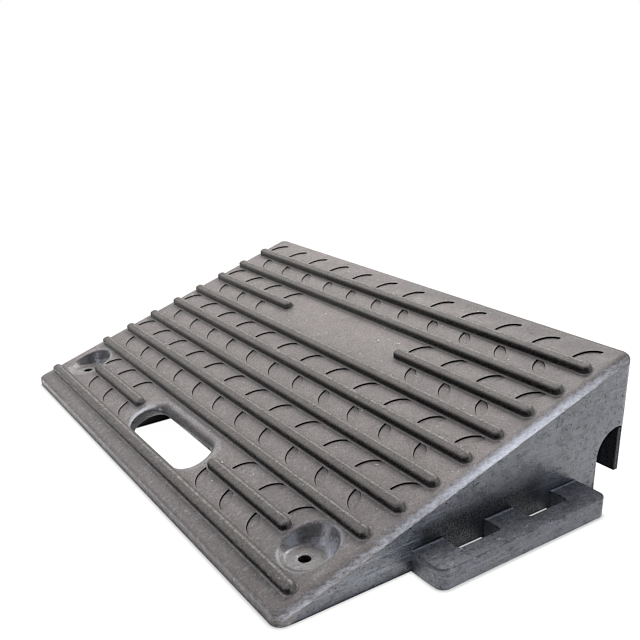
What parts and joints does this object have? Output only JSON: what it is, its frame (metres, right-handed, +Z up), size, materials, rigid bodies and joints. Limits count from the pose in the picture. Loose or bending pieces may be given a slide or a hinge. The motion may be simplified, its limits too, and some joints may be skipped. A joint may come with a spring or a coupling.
{
  "type": "plastic kerb ramp",
  "caption": "Hollow wedge-shaped moulded plastic kerb ramp with a ribbed leaf-pocket tread, a hand slot, dished fixing holes, a cable channel and a side link tab.",
  "frame": {"origin": "on the ground, in the middle of the wedge's footprint without the link tab, on the foot of the middle rib", "axes": "+X across the ramp towards the link tab, +Y from the toe up to the kerb face, +Z up"},
  "size_m": [0.52, 0.304, 0.1015],
  "materials": {
    "tread_plastic": "matte charcoal recycled plastic, lightly scuffed on the tread",
    "body_plastic": "matte charcoal recycled plastic, as moulded"
  },
  "bodies": {
    "root": {"deck_plate": "tread_plastic", "toe_rail": "body_plastic", "left_wall": "body_plastic", "right_wall": "body_plastic", "kerb_wall": "body_plastic", "handle_collar": "body_plastic", "left_fixing_cup": "tread_plastic", "right_fixing_cup": "tread_plastic", "link_tab": "body_plastic", "tread_panel_toe": "tread_plastic", "tread_panel_1": "tread_plastic", "tread_panel_2": "tread_plastic", "tread_panel_3": "tread_plastic", "tread_panel_4": "tread_plastic", "tread_panel_5": "tread_plastic", "tread_panel_6": "tread_plastic", "tread_panel_7": "tread_plastic", "tread_panel_8": "tread_plastic", "tread_panel_9": "tread_plastic", "tread_panel_10": "tread_plastic", "tread_bar_1": "tread_plastic", "tread_bar_2_left": "tread_plastic", "tread_bar_2_right": "tread_plastic", "tread_bar_3": "tread_plastic", "tread_bar_4": "tread_plastic", "tread_bar_5": "tread_plastic", "tread_bar_6": "tread_plastic", "tread_bar_7": "tread_plastic", "tread_bar_8_left": "tread_plastic", "tread_bar_8_right": "tread_plastic", "tread_bar_9": "tread_plastic", "tread_bar_10": "tread_plastic", "long_rib_1": "body_plastic", "long_rib_2": "body_plastic", "long_rib_3": "body_plastic", "long_rib_4": "body_plastic", "long_rib_5": "body_plastic", "cross_rib_1": "body_plastic", "cross_rib_2": "body_plastic", "cross_rib_3": "body_plastic"}
  },
  "joints": []
}
